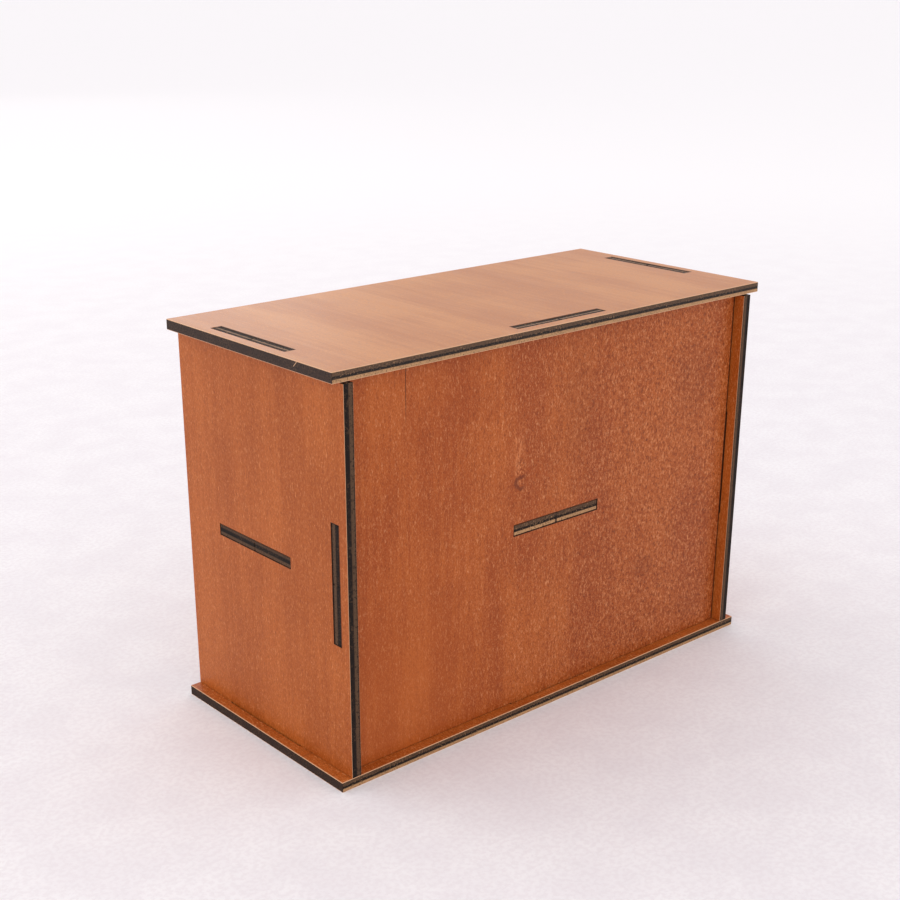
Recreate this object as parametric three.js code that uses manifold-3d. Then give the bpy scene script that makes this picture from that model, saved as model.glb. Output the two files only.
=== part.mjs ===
// A desk-top book drop box in laser-cut plywood. A mouth above the middle shelf is closed by a hanging flap,
// and what is pushed through it falls through the shelf's opening into a drawer.
//
// Millimetres, +Z up. +X runs along the box, and the front faces -Y.
// The origin is the centre of the bottom panel's underside.

import * as THREE from 'three';
import { mergeVertices } from 'three/addons/utils/BufferGeometryUtils.js';
import Module from 'manifold-3d';

const wasm = await Module();
wasm.setup();

// ---- Driving sizes: the case ----
const length = 163.0;
const depth = 75.0;
const height = 115.0;
const ply = 3.0;
const sideInset = 3.4; // side panels stand in from the short edges of the top and bottom
const backRecess = 3.4; // back panel stands in from the long rear edges
const lidGap = 0.5; // the top sits this far above the panels that carry it
const tabLength = 33.5;
const slotGap = 0.2; // round a tab in its slot
const tabSetback = 0.1; // a tab's end stops this far short of the far face
const glueLine = 0.05; // where one panel's edge or face meets another
const shelfTabForward = 1.2; // the shelf's side tabs sit this far in front of the bay's middle

// ---- Driving sizes: the shelf's opening and the drop frame ----
const chuteFrontRim = 14.0;
const chuteRearRim = 9.0;
const chuteSideRim = 14.0;
const mouthSideRail = 12.0;
const mouthTopRail = 9.0;
const mouthBottomRail = 8.0;

// ---- Driving sizes: the flap and its pins ----
const pinRadius = 0.6;
const pinGrip = 8.0; // length of pin held in the flap
const pinPressGap = 0.05; // radial, pin in flap
const pinTurnGap = 0.1; // radial, pin in pivot plate
const pinEndGap = 0.2;
const flapFrontGap = 0.4; // flap to the frame it closes against
const flapTopGap = 1.0; // round top of the flap to the level of the frame's top edge
const flapFootGap = 1.0; // flap to the shelf
const flapSideGap = 0.5; // flap to each pivot plate
const pivotPlateDepth = 10.0;
const pivotPlateHeight = 12.0;

// ---- Driving sizes: the drawer ----
const drawerSideGap = 0.6;
const drawerTopGap = 0.8;
const drawerFloorGap = 0.3;
const drawerRearGap = 1.5;
const drawerSideInset = 2.5; // drawer sides stand in from the ends of its front
const drawerWallDrop = 9.5; // sides and back stop this far below the top of the front
const drawerBottomRise = 2.0; // drawer bottom above the lower edges of its sides
const drawerTab = 16.0; // tabs of the drawer's sides
const knobRadius = 6.5;
const knobReach = 11.0;
const knobFootRadius = 4.0;
const knobNeckRadius = 3.2;
const knobNeckLength = 2.6;
const knobCrownHalf = 4.2; // half the crown's thickness, measured along the knob
const knobHoleSpare = 0.3; // the knob's hole is this much deeper than the screw's bite
const screwRadius = 1.0;
const screwHeadRadius = 2.3;
const screwHeadHeight = 1.3;
const screwBite = 7.0; // thread in the knob
const screwHoleGap = 0.2; // radial, screw in the drawer front
const screwThreadGap = 0.05; // radial, screw in the knob

const roundSegments = 24;
const arcSteps = 8;
const crownFootAngle = (50 * Math.PI) / 180; // the knob's crown starts this far below its widest ring

// ---- Places worked out from them ----
const frontY = -depth / 2;
const backY = depth / 2 - backRecess - ply / 2;
const bayBackY = backY - ply / 2;
const bayMiddleY = (frontY + bayBackY) / 2;
const sideX = length / 2 - sideInset - ply / 2;
const bayHalfWidth = sideX - ply / 2;
const sideFootZ = ply + glueLine;
const topZ = height - ply / 2;
const wallTopZ = height - ply - lidGap;
const shelfZ = (ply + wallTopZ) / 2;
const shelfTopZ = shelfZ + ply / 2;
const shelfUnderZ = shelfZ - ply / 2;

const flapY = frontY + ply + flapFrontGap + ply / 2;
const flapAxisZ = wallTopZ - flapTopGap - ply / 2;
const flapHalfWidth = bayHalfWidth - glueLine - ply - flapSideGap;

const drawerHalfWidth = bayHalfWidth - drawerSideGap;
const drawerFootZ = ply + drawerFloorGap;
const drawerFrontTopZ = shelfUnderZ - drawerTopGap;
const drawerWallTopZ = drawerFrontTopZ - drawerWallDrop;
const drawerWallMiddleZ = (drawerFootZ + drawerWallTopZ) / 2;
const drawerFrontY = frontY + ply / 2;
const drawerBackY = bayBackY - drawerRearGap - ply / 2;
const drawerSideX = drawerHalfWidth - drawerSideInset - ply / 2;
const drawerBottomZ = drawerFootZ + drawerBottomRise + ply / 2;
const drawerMiddleY = (drawerFrontY + drawerBackY) / 2;
const knobZ = (drawerFootZ + drawerFrontTopZ) / 2;

// ---- Which way a flat panel faces: its own across, up and through directions ----
const alongX = new THREE.Vector3(1, 0, 0);
const alongY = new THREE.Vector3(0, 1, 0);
const alongZ = new THREE.Vector3(0, 0, 1);
const lying = new THREE.Matrix4().makeBasis(alongX, alongY, alongZ);
const facingFront = new THREE.Matrix4().makeBasis(alongX, alongZ, alongY.clone().negate());
const facingSide = new THREE.Matrix4().makeBasis(alongY, alongZ, alongX);

// ---- Finishes ----
const plyFace = { color: 0xb0683d, roughness: 0.55, metalness: 0 };
const insidePly = { color: 0xa4613a, roughness: 0.6, metalness: 0 };
const drawerPly = { color: 0xa9643b, roughness: 0.58, metalness: 0 };
const turnedWood = { color: 0x8a4a28, roughness: 0.45, metalness: 0 };
const brassWire = { color: 0xc59b4e, roughness: 0.35, metalness: 1 };
const zincSteel = { color: 0xb9bcc0, roughness: 0.35, metalness: 1 };

const box = new THREE.Group();

function addPiece(name, geometry, finish) {
  const mesh = new THREE.Mesh(geometry, new THREE.MeshStandardMaterial(finish));
  mesh.name = name;
  box.add(mesh);
  return mesh;
}

// ---- Joining and cutting solids ----
function toSolid(geometry) {
  const bare = geometry.clone();
  bare.deleteAttribute('normal');
  bare.deleteAttribute('uv');
  const merged = mergeVertices(bare.index ? bare.toNonIndexed() : bare);
  const vertProperties = new Float32Array(merged.attributes.position.array);
  const triVerts = new Uint32Array(merged.index.array);
  return new wasm.Manifold(new wasm.Mesh({ numProp: 3, vertProperties, triVerts }));
}

function toGeometry(solid) {
  const mesh = solid.getMesh();
  const geometry = new THREE.BufferGeometry();
  geometry.setAttribute('position', new THREE.BufferAttribute(mesh.vertProperties, 3));
  geometry.setIndex(new THREE.BufferAttribute(mesh.triVerts, 1));
  geometry.computeVertexNormals();
  return geometry;
}

// A round bar along X between two places.
function barAlongX(x0, x1, y, z, radius) {
  const bar = new THREE.CylinderGeometry(radius, radius, x1 - x0, roundSegments);
  bar.rotateZ(-Math.PI / 2);
  bar.translate((x0 + x1) / 2, y, z);
  return bar;
}

// ---- Flat panels ----
// An outline is a rectangle in the panel's own plane, in box coordinates, with at most one tab on an edge.
// A tab is { middle, length, reach }: where it sits along its edge, and how far it stands out of it.
function panelOutline({ x0, x1, y0, y1, bottom, right, top, left }) {
  const shape = new THREE.Shape();
  shape.moveTo(x0, y0);
  if (bottom) tabOnEdge(shape, bottom, 1, (along, out) => [along, y0 - out]);
  shape.lineTo(x1, y0);
  if (right) tabOnEdge(shape, right, 1, (along, out) => [x1 + out, along]);
  shape.lineTo(x1, y1);
  if (top) tabOnEdge(shape, top, -1, (along, out) => [along, y1 + out]);
  shape.lineTo(x0, y1);
  if (left) tabOnEdge(shape, left, -1, (along, out) => [x0 - out, along]);
  return shape;
}

// Walks round one tab. Sense is 1 where the outline runs along the edge in the positive direction.
function tabOnEdge(shape, tab, sense, place) {
  const start = tab.middle - (sense * tab.length) / 2;
  const end = tab.middle + (sense * tab.length) / 2;
  shape.lineTo(...place(start, 0));
  shape.lineTo(...place(start, tab.reach));
  shape.lineTo(...place(end, tab.reach));
  shape.lineTo(...place(end, 0));
}

function rectangleHole(x0, x1, y0, y1) {
  return panelOutline({ x0, x1, y0, y1 });
}

function roundHole(x, y, radius) {
  return new THREE.Shape().absarc(x, y, radius, 0, 2 * Math.PI, false);
}

// The slot that a tab passes through: a tab that is long across the panel, or long up it.
function slotAcross(x, y, tabRun) {
  const run = tabRun / 2 + slotGap;
  const rise = ply / 2 + slotGap;
  return rectangleHole(x - run, x + run, y - rise, y + rise);
}

function slotUp(x, y, tabRun) {
  const run = ply / 2 + slotGap;
  const rise = tabRun / 2 + slotGap;
  return rectangleHole(x - run, x + run, y - rise, y + rise);
}

// A tab that passes through the neighbour's thickness from a panel edge the given gap away from it.
function throughTab(middle, tabRun, gap) {
  return { middle, length: tabRun, reach: gap + ply - tabSetback };
}

// A flat sheet of the outline, centred on its own plane. Each hole's cutter runs past both faces.
function sheet(outline, holes, thickness = ply) {
  let solid = toSolid(extruded(outline, thickness));
  for (const hole of holes) {
    solid = solid.subtract(toSolid(extruded(hole, 2 * thickness)));
  }
  return toGeometry(solid);
}

function extruded(outline, thickness) {
  const steps = { depth: thickness, bevelEnabled: false, curveSegments: roundSegments / 2 };
  const geometry = new THREE.ExtrudeGeometry(outline, steps);
  geometry.translate(0, 0, -thickness / 2);
  return geometry;
}

function addPanel(name, outline, holes, facing, place, finish) {
  const mesh = addPiece(name, sheet(outline, holes), finish);
  mesh.setRotationFromMatrix(facing);
  mesh.position.copy(place);
  return mesh;
}

// ---- The case ----
function addTopAndBottom() {
  const rectangle = { x0: -length / 2, x1: length / 2, y0: -depth / 2, y1: depth / 2 };
  for (const [name, z] of [['bottom_panel', ply / 2], ['top_panel', topZ]]) {
    const slots = [
      slotUp(-sideX, bayMiddleY, tabLength),
      slotUp(sideX, bayMiddleY, tabLength),
      slotAcross(0, backY, tabLength),
    ];
    addPanel(name, panelOutline(rectangle), slots, lying, new THREE.Vector3(0, 0, z), plyFace);
  }
}

function addSidePanel(name, x) {
  const outline = panelOutline({
    x0: frontY,
    x1: depth / 2,
    y0: sideFootZ,
    y1: wallTopZ,
    bottom: throughTab(bayMiddleY, tabLength, glueLine),
    top: throughTab(bayMiddleY, tabLength, lidGap),
  });
  const slots = [
    slotAcross(bayMiddleY - shelfTabForward, shelfZ, tabLength),
    slotUp(backY, shelfZ, tabLength),
  ];
  addPanel(name, outline, slots, facingSide, new THREE.Vector3(x, 0, 0), plyFace);
}

function addBackPanel() {
  const outline = panelOutline({
    x0: -bayHalfWidth + glueLine,
    x1: bayHalfWidth - glueLine,
    y0: sideFootZ,
    y1: wallTopZ,
    bottom: throughTab(0, tabLength, glueLine),
    top: throughTab(0, tabLength, lidGap),
    left: throughTab(shelfZ, tabLength, glueLine),
    right: throughTab(shelfZ, tabLength, glueLine),
  });
  const slots = [slotAcross(0, shelfZ, tabLength)];
  addPanel('back_panel', outline, slots, facingFront, new THREE.Vector3(0, backY, 0), plyFace);
}

// The shelf has a notch in its front edge for the drop frame, and the opening that things fall through.
function addMiddleShelf() {
  const edgeX = bayHalfWidth - glueLine;
  const sideTab = throughTab(bayMiddleY - shelfTabForward, tabLength, glueLine);
  const outline = panelOutline({
    x0: -edgeX,
    x1: edgeX,
    y0: frontY,
    y1: bayBackY - glueLine,
    bottom: { middle: 0, length: tabLength + 2 * slotGap, reach: -ply - slotGap },
    top: throughTab(0, tabLength, glueLine),
    left: sideTab,
    right: sideTab,
  });
  const opening = rectangleHole(
    -bayHalfWidth + chuteSideRim,
    bayHalfWidth - chuteSideRim,
    frontY + chuteFrontRim,
    bayBackY - chuteRearRim,
  );
  addPanel('middle_shelf', outline, [opening], lying, new THREE.Vector3(0, 0, shelfZ), insidePly);
}

function addDropFrame() {
  const outline = panelOutline({
    x0: -bayHalfWidth + glueLine,
    x1: bayHalfWidth - glueLine,
    y0: shelfTopZ + glueLine,
    y1: wallTopZ,
    bottom: throughTab(0, tabLength, glueLine),
  });
  const mouth = rectangleHole(
    -bayHalfWidth + mouthSideRail,
    bayHalfWidth - mouthSideRail,
    shelfTopZ + mouthBottomRail,
    wallTopZ - mouthTopRail,
  );
  addPanel('drop_frame', outline, [mouth], facingFront, new THREE.Vector3(0, frontY + ply / 2, 0), plyFace);
}

// ---- The flap ----
function addPivotPlate(name, x) {
  const plateFrontY = frontY + ply + glueLine;
  const outline = panelOutline({
    x0: plateFrontY,
    x1: plateFrontY + pivotPlateDepth,
    y0: wallTopZ - pivotPlateHeight,
    y1: wallTopZ,
  });
  const pivot = [roundHole(flapY, flapAxisZ, pinRadius + pinTurnGap)];
  addPanel(name, outline, pivot, facingSide, new THREE.Vector3(x, 0, 0), insidePly);
}

// The flap's top edge is rounded about the pins, so that it keeps its gap to the frame as it swings.
function flapGeometry() {
  const outline = new THREE.Shape();
  outline.moveTo(flapY - ply / 2, shelfTopZ + flapFootGap);
  outline.lineTo(flapY + ply / 2, shelfTopZ + flapFootGap);
  outline.lineTo(flapY + ply / 2, flapAxisZ);
  outline.absarc(flapY, flapAxisZ, ply / 2, 0, Math.PI, false);
  const slab = extruded(outline, 2 * flapHalfWidth);
  slab.applyMatrix4(facingSide);
  let flap = toSolid(slab);
  for (const end of [-1, 1]) {
    const inner = end * (flapHalfWidth - pinGrip);
    const outer = end * (flapHalfWidth + ply);
    const [x0, x1] = [Math.min(inner, outer), Math.max(inner, outer)];
    flap = flap.subtract(toSolid(barAlongX(x0, x1, flapY, flapAxisZ, pinRadius + pinPressGap)));
  }
  return toGeometry(flap);
}

function addPin(name, end) {
  const inner = end * (flapHalfWidth - pinGrip + pinEndGap);
  const outer = end * (bayHalfWidth - pinEndGap);
  const [x0, x1] = [Math.min(inner, outer), Math.max(inner, outer)];
  addPiece(name, barAlongX(x0, x1, flapY, flapAxisZ, pinRadius), brassWire);
}

// ---- The drawer ----
function addDrawerFront() {
  const outline = panelOutline({
    x0: -drawerHalfWidth,
    x1: drawerHalfWidth,
    y0: drawerFootZ,
    y1: drawerFrontTopZ,
  });
  const cuts = [
    slotUp(-drawerSideX, drawerWallMiddleZ, drawerTab),
    slotUp(drawerSideX, drawerWallMiddleZ, drawerTab),
    slotAcross(0, drawerBottomZ, tabLength),
    roundHole(0, knobZ, screwRadius + screwHoleGap),
  ];
  addPanel('drawer_front', outline, cuts, facingFront, new THREE.Vector3(0, drawerFrontY, 0), drawerPly);
}

function addDrawerBack() {
  const outline = panelOutline({
    x0: -drawerHalfWidth,
    x1: drawerHalfWidth,
    y0: drawerFootZ,
    y1: drawerWallTopZ,
  });
  const slots = [
    slotUp(-drawerSideX, drawerWallMiddleZ, drawerTab),
    slotUp(drawerSideX, drawerWallMiddleZ, drawerTab),
    slotAcross(0, drawerBottomZ, tabLength),
  ];
  addPanel('drawer_back', outline, slots, facingFront, new THREE.Vector3(0, drawerBackY, 0), drawerPly);
}

function addDrawerSide(name, x) {
  const endTab = throughTab(drawerWallMiddleZ, drawerTab, glueLine);
  const outline = panelOutline({
    x0: drawerFrontY + ply / 2 + glueLine,
    x1: drawerBackY - ply / 2 - glueLine,
    y0: drawerFootZ,
    y1: drawerWallTopZ,
    left: endTab,
    right: endTab,
  });
  const slots = [slotAcross(drawerMiddleY, drawerBottomZ, drawerTab)];
  addPanel(name, outline, slots, facingSide, new THREE.Vector3(x, 0, 0), drawerPly);
}

function addDrawerBottom() {
  const outline = panelOutline({
    x0: -drawerSideX + ply / 2 + glueLine,
    x1: drawerSideX - ply / 2 - glueLine,
    y0: drawerFrontY + ply / 2 + glueLine,
    y1: drawerBackY - ply / 2 - glueLine,
    bottom: throughTab(0, tabLength, glueLine),
    top: throughTab(0, tabLength, glueLine),
    left: throughTab(drawerMiddleY, drawerTab, glueLine),
    right: throughTab(drawerMiddleY, drawerTab, glueLine),
  });
  addPanel('drawer_bottom', outline, [], lying, new THREE.Vector3(0, 0, drawerBottomZ), drawerPly);
}

// Profiles of the turned pieces run from the axis outwards, with the second value along the axis.
function turned(profile) {
  const points = profile.map(([radius, along]) => new THREE.Vector2(radius, along));
  return new THREE.LatheGeometry(points, roundSegments);
}

// A turned piece stands along Y, with its profile's positive direction towards the front.
function addTurned(name, profile, y, finish) {
  const mesh = addPiece(name, turned(profile), finish);
  mesh.rotation.x = Math.PI;
  mesh.position.set(0, y, knobZ);
}

// Points of an oval arc about the axis, from an angle up to its pole on the axis.
function ovalArc(radius, halfHeight, centre, startAngle) {
  const points = [];
  for (let i = 0; i <= arcSteps; i += 1) {
    const angle = startAngle + ((Math.PI / 2 - startAngle) * i) / arcSteps;
    points.push([radius * Math.cos(angle), centre + halfHeight * Math.sin(angle)]);
  }
  points[arcSteps][0] = 0;
  return points;
}

// The knob's foot is flat on the drawer front, with a blind hole for the screw.
function addKnob() {
  const holeRadius = screwRadius + screwThreadGap;
  const holeDepth = screwBite + knobHoleSpare;
  const profile = [
    [0, holeDepth],
    [holeRadius, holeDepth],
    [holeRadius, 0],
    [knobFootRadius, 0],
    [knobNeckRadius, knobNeckLength],
    ...ovalArc(knobRadius, knobCrownHalf, knobReach - knobCrownHalf, -crownFootAngle),
  ];
  addTurned('drawer_knob', profile, frontY - glueLine, turnedWood);
}

function addKnobScrew() {
  const headFoot = -ply - glueLine;
  const tip = glueLine + screwBite;
  const profile = [
    ...ovalArc(screwHeadRadius, -screwHeadHeight, headFoot, 0).reverse(),
    [screwRadius, headFoot],
    [screwRadius, tip - screwRadius],
    [0, tip],
  ];
  addTurned('drawer_knob_screw', profile, frontY, zincSteel);
}

addTopAndBottom();
addSidePanel('left_side_panel', -sideX);
addSidePanel('right_side_panel', sideX);
addBackPanel();
addMiddleShelf();
addDropFrame();

const pivotPlateX = bayHalfWidth - glueLine - ply / 2;
addPivotPlate('left_pivot_plate', -pivotPlateX);
addPivotPlate('right_pivot_plate', pivotPlateX);
addPiece('flap_panel', flapGeometry(), plyFace);
addPin('flap_left_pin', -1);
addPin('flap_right_pin', 1);

addDrawerFront();
addDrawerBack();
addDrawerSide('drawer_left_side', -drawerSideX);
addDrawerSide('drawer_right_side', drawerSideX);
addDrawerBottom();
addKnob();
addKnobScrew();

export default box;
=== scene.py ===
# %% [markdown]
# # A desk-top book drop box in stained plywood
# The box is glued up from 3 mm laser-cut plywood. A flap hangs behind a mouth at the front, a shelf with
# an opening lets what is dropped fall through, and a drawer catches it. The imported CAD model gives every
# piece its place and size, and this lesson gives each one its finished mesh and its material.

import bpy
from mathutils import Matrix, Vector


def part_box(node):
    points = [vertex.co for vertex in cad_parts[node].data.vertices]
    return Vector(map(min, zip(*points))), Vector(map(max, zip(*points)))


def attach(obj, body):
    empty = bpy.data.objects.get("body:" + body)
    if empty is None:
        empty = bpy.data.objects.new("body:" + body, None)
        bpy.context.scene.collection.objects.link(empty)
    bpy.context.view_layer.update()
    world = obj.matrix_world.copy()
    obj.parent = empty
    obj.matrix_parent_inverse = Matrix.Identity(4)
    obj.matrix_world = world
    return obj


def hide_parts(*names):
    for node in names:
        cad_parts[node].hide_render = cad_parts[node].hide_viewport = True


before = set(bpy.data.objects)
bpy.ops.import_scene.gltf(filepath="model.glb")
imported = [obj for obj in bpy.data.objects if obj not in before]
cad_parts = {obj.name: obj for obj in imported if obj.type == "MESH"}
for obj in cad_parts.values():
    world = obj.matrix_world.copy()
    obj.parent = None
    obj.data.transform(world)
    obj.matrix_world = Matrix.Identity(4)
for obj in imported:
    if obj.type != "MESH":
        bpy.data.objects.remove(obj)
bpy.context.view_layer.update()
print("CAD nodes:", len(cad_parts))

# %% [markdown]
# ## Tools and units
# Blender works in metres, and a maker of small boxes thinks in millimetres. Sizes could be typed as small
# fractions of a metre, but a named millimetre is harder to get wrong by a factor of ten.

# %% Imports and the unit that the sizes are written in
import math

import bmesh
import bpy
from mathutils import Vector

MM = 0.001
X, Y, Z = 0, 1, 2
print("one millimetre is", MM, "m")

# %% [markdown]
# ## Measures taken from the frame
# The bottom panel lies flat, so its height is one sheet's thickness. It could be typed in, but a measured
# one follows the model if the sheet changes. All the boards are cut from the same sheet.

# %% Sheet thickness and overall size
base_low, base_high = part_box("bottom_panel")
sheet_thickness = base_high.z - base_low.z
box_length = base_high.x - base_low.x
box_depth = base_high.y - base_low.y
box_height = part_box("top_panel")[1].z
print("sheet:", round(sheet_thickness / MM, 2), "mm")
print("box:", [round(v / MM, 1) for v in (box_length, box_depth, box_height)], "mm")

# %% [markdown]
# ## The camera
# The box is looked at from behind and above, with its right end towards the left of the view. The camera
# could be tipped up to set the box lower in the frame, but a small shift of the lens does that without
# changing how the uprights lean. The lens is a short telephoto.

# %% Camera
camera_bearing = math.radians(42.5)
camera_heading = math.radians(40.89)
camera_pitch = math.radians(21.06)
camera_reach = 0.4191
camera_height = 0.2050
camera_lens = 58.47
camera_shift = (0.0135, 0.0879)


def place_camera():
    data = bpy.data.cameras.new("camera")
    data.sensor_width = 36.0
    data.lens = camera_lens
    data.shift_x, data.shift_y = camera_shift
    data.clip_start = 0.01
    data.clip_end = 60.0
    camera = bpy.data.objects.new("camera", data)
    bpy.context.scene.collection.objects.link(camera)
    camera.location = (
        camera_reach * math.sin(camera_bearing),
        camera_reach * math.cos(camera_bearing),
        camera_height,
    )
    gaze = Vector((
        -math.sin(camera_heading) * math.cos(camera_pitch),
        -math.cos(camera_heading) * math.cos(camera_pitch),
        -math.sin(camera_pitch),
    ))
    camera.rotation_euler = gaze.to_track_quat("-Z", "Y").to_euler()
    bpy.context.scene.camera = camera
    return camera


camera = place_camera()
print("camera at", [round(v, 3) for v in camera.location], "lens", round(camera.data.lens, 1), "mm")

# %% [markdown]
# ## Colours
# People name a colour by its three screen numbers, and a shader works in linear light. One small function
# turns the first into the second, so every colour below can be written as a paint chart gives it.

# %% Screen colours as linear light
def srgb(red, green, blue):
    """A screen colour, 0 to 255 a channel, as the linear numbers that a shader works in."""
    def linear(value):
        value /= 255
        return value / 12.92 if value <= 0.04045 else ((value + 0.055) / 1.055) ** 2.4
    return (linear(red), linear(green), linear(blue), 1.0)


print("mid grey is", round(srgb(128, 128, 128)[0], 3), "in linear light")

# %% [markdown]
# ## Floor and light
# The floor is one large pale sheet, wide enough that its edge is never seen. Most of the light is the
# room itself, almost white and even on all sides, which keeps the shadows soft. Two wide lamps model the
# form: a window high in front of the box, and a fill past its right rear corner. A third lamp stands low
# and far in front, and is left out of the diffuse light, so all it adds is the pale sheen on the top.

# %% Floor, room and lamps
FLOOR_HALF = 20.0


def area_lamp(name, place, aim, size, power, colour):
    data = bpy.data.lights.new(name, "AREA")
    data.shape = "DISK"
    data.size = size
    data.energy = power
    data.color = colour[:3]
    lamp = bpy.data.objects.new(name, data)
    bpy.context.scene.collection.objects.link(lamp)
    lamp.location = place
    lamp.rotation_euler = (Vector(aim) - Vector(place)).to_track_quat("-Z", "Y").to_euler()
    return lamp


def lay_floor(half_width):
    sheet = bmesh.new()
    bmesh.ops.create_grid(sheet, x_segments=1, y_segments=1, size=half_width)
    mesh = bpy.data.meshes.new("floor")
    sheet.to_mesh(mesh)
    sheet.free()
    floor = bpy.data.objects.new("floor", mesh)
    bpy.context.scene.collection.objects.link(floor)
    return floor


floor = lay_floor(FLOOR_HALF)
room = bpy.data.worlds.new("room")
room.use_nodes = True
room_light = room.node_tree.nodes["Background"]
room_light.inputs["Color"].default_value = srgb(255, 252, 254)
room_light.inputs["Strength"].default_value = 0.97
bpy.context.scene.world = room
bpy.context.scene.view_settings.view_transform = "Standard"
middle = (0, 0, box_height / 2)
area_lamp("window", (0.5, -0.9, 1.1), middle, 1.2, 2.4, srgb(255, 251, 246))
area_lamp("side_fill", (1.3, 0.9, 0.7), middle, 1.2, 2.0, srgb(255, 248, 240))
sheen_lamp = area_lamp("low_window", (-0.80, -1.98, 0.65), middle, 1.1, 3.1, srgb(255, 253, 250))
sheen_lamp.visible_diffuse = False
print("floor", FLOOR_HALF * 2, "m wide, and", len(bpy.data.lights), "lamps")

# %% [markdown]
# ## Shader sums in plain Python
# A finish is worked out from numbers that change over the surface. Wrapping a socket in a small class
# lets those numbers be added and multiplied as ordinary Python values. The same nodes could be linked one
# by one, but a sum on one line is far easier to read than a wall of links.

# %% The socket wrapper
class Field:
    """A number, colour or vector that changes over a surface."""

    def __init__(self, finish, socket):
        self.finish = finish
        self.socket = socket

    def sum(self, operation, *values):
        return self.finish.node("ShaderNodeMath", {"operation": operation}, dict(enumerate(values)))

    def __add__(self, other):
        return self.sum("ADD", self, other)

    def __sub__(self, other):
        return self.sum("SUBTRACT", self, other)

    def __mul__(self, other):
        return self.sum("MULTIPLY", self, other)

    def __truediv__(self, other):
        return self.sum("DIVIDE", self, other)

    def __abs__(self):
        return self.sum("ABSOLUTE", self)

    def __pow__(self, other):
        return self.sum("POWER", self, other)


print("a field can be added, subtracted, multiplied, divided and raised")

# %% [markdown]
# ## One maker for every material
# Each material starts as one main shader whose constants are set on its own sockets. The patterns read
# Object coordinates, so they stay fixed in the piece when it moves, and they need no unwrapping. One
# method makes every node: it sets the node's own settings, and then fills or links its sockets.

# %% The finish maker
class Finish:
    """One material, with its main shader and the ways to make its patterns."""

    def __init__(self, name, roughness=0.5, metallic=0.0, specular=0.5):
        self.material = bpy.data.materials.new(name)
        self.material.use_nodes = True
        self.nodes = self.material.node_tree.nodes
        self.links = self.material.node_tree.links
        self.shader = self.nodes["Principled BSDF"]
        self.shader.inputs["Roughness"].default_value = roughness
        self.shader.inputs["Metallic"].default_value = metallic
        self.shader.inputs["Specular IOR Level"].default_value = specular
        self.place = self.node("ShaderNodeTexCoord", output="Object")

    def node(self, kind, settings=None, inputs=None, output=0):
        made = self.nodes.new(kind)
        for key, value in (settings or {}).items():
            if key == "stops":
                self.set_stops(made.color_ramp, value)
            else:
                setattr(made, key, value)
        for key, value in (inputs or {}).items():
            if isinstance(value, Field):
                self.links.new(value.socket, made.inputs[key])
            else:
                made.inputs[key].default_value = value
        return Field(self, made.outputs[output])

    def set_stops(self, ramp, stops):
        ramp.elements[0].position, ramp.elements[0].color = stops[0]
        ramp.elements[1].position, ramp.elements[1].color = stops[-1]
        for position, colour in stops[1:-1]:
            ramp.elements.new(position).color = colour

    def feed(self, socket, field):
        self.links.new(field.socket, self.shader.inputs[socket])

    def axis(self, index):
        return self.node("ShaderNodeSeparateXYZ", None, {0: self.place}, output=index)

    def mix(self, share, first, second):
        return self.node("ShaderNodeMix", {"data_type": "RGBA"}, {0: share, 6: first, 7: second}, output=2)

    def step(self, value, start, end):
        """0 below start, 1 above end, and smooth between them. Start may be the larger one."""
        return self.node(
            "ShaderNodeMapRange", {"interpolation_type": "SMOOTHSTEP"}, {0: value, 1: start, 2: end}
        )

    def ramp(self, value, stops):
        return self.node("ShaderNodeValToRGB", {"stops": stops}, {0: value})

    def away(self, centre, radii):
        """Distance from a centre in radii, so an oval's rim is at 1. An axis with no radius is left out."""
        total = 0.0
        for index, radius in enumerate(radii):
            if radius:
                part = (self.axis(index) - centre[index] * MM) / (radius * MM)
                total = part * part + total
        return total ** 0.5

    def share(self, node, axis):
        """How far along a node's box a point is: 0 at the low side, 1 at the high side."""
        low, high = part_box(node)
        return (self.axis(axis) - low[axis]) / (high[axis] - low[axis])

    def noise(self, repeats, detail=2.0, roughness=0.5, shift=0.0, twist=0.0):
        """Cloudy noise. Repeats says how many clouds fit in a millimetre along X, Y and Z."""
        stretched = self.node(
            "ShaderNodeMapping",
            {"vector_type": "POINT"},
            {"Vector": self.place, "Location": (shift, shift, shift), "Scale": [r / MM for r in repeats]},
        )
        inputs = {
            "Vector": stretched, "Scale": 1.0, "Detail": detail, "Roughness": roughness, "Distortion": twist,
        }
        return self.node("ShaderNodeTexNoise", {"noise_dimensions": "3D"}, inputs)

    def mark(self, name):
        """A number kept on the piece's own faces."""
        return self.node("ShaderNodeAttribute", {"attribute_name": name}, output="Fac")

    def bump(self, height, depth, strength=1.0):
        """Tilts the surface by a height from 0 to 1, worth the given depth in metres."""
        inputs = {"Height": height, "Distance": depth, "Strength": strength}
        return self.node("ShaderNodeBump", None, inputs)


print("shader helpers ready")

# %% [markdown]
# ## The floor's finish
# A pale matt sheet with a fine weave and the faintest mottling. A flat white would do for the box, but
# then nothing would show where the floor lies. Far from the box the sheet fades to the white of the room.

# %% Floor finish
def floor_finish():
    finish = Finish("floor_sheet", roughness=0.9)
    mottle = finish.noise((0.05, 0.05, 0.05), detail=5.0, roughness=0.6)
    reach = (finish.axis(X) * finish.axis(X) + finish.axis(Y) * finish.axis(Y)) ** 0.5
    near = finish.mix(finish.step(mottle, 0.35, 0.65), srgb(243, 240, 243), srgb(248, 246, 248))
    weave = finish.noise((0.7, 0.7, 0.7), detail=2.0, roughness=0.6, shift=2.0)
    near = finish.mix(finish.step(weave, 0.40, 0.62) * 0.4, near, srgb(232, 226, 230))
    finish.feed("Base Color", finish.mix(finish.step(reach, 0.25, 1.2), near, srgb(254, 253, 254)))
    finish.feed("Normal", finish.bump(mottle, 0.6 * MM, strength=0.15))
    return finish.material


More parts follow.
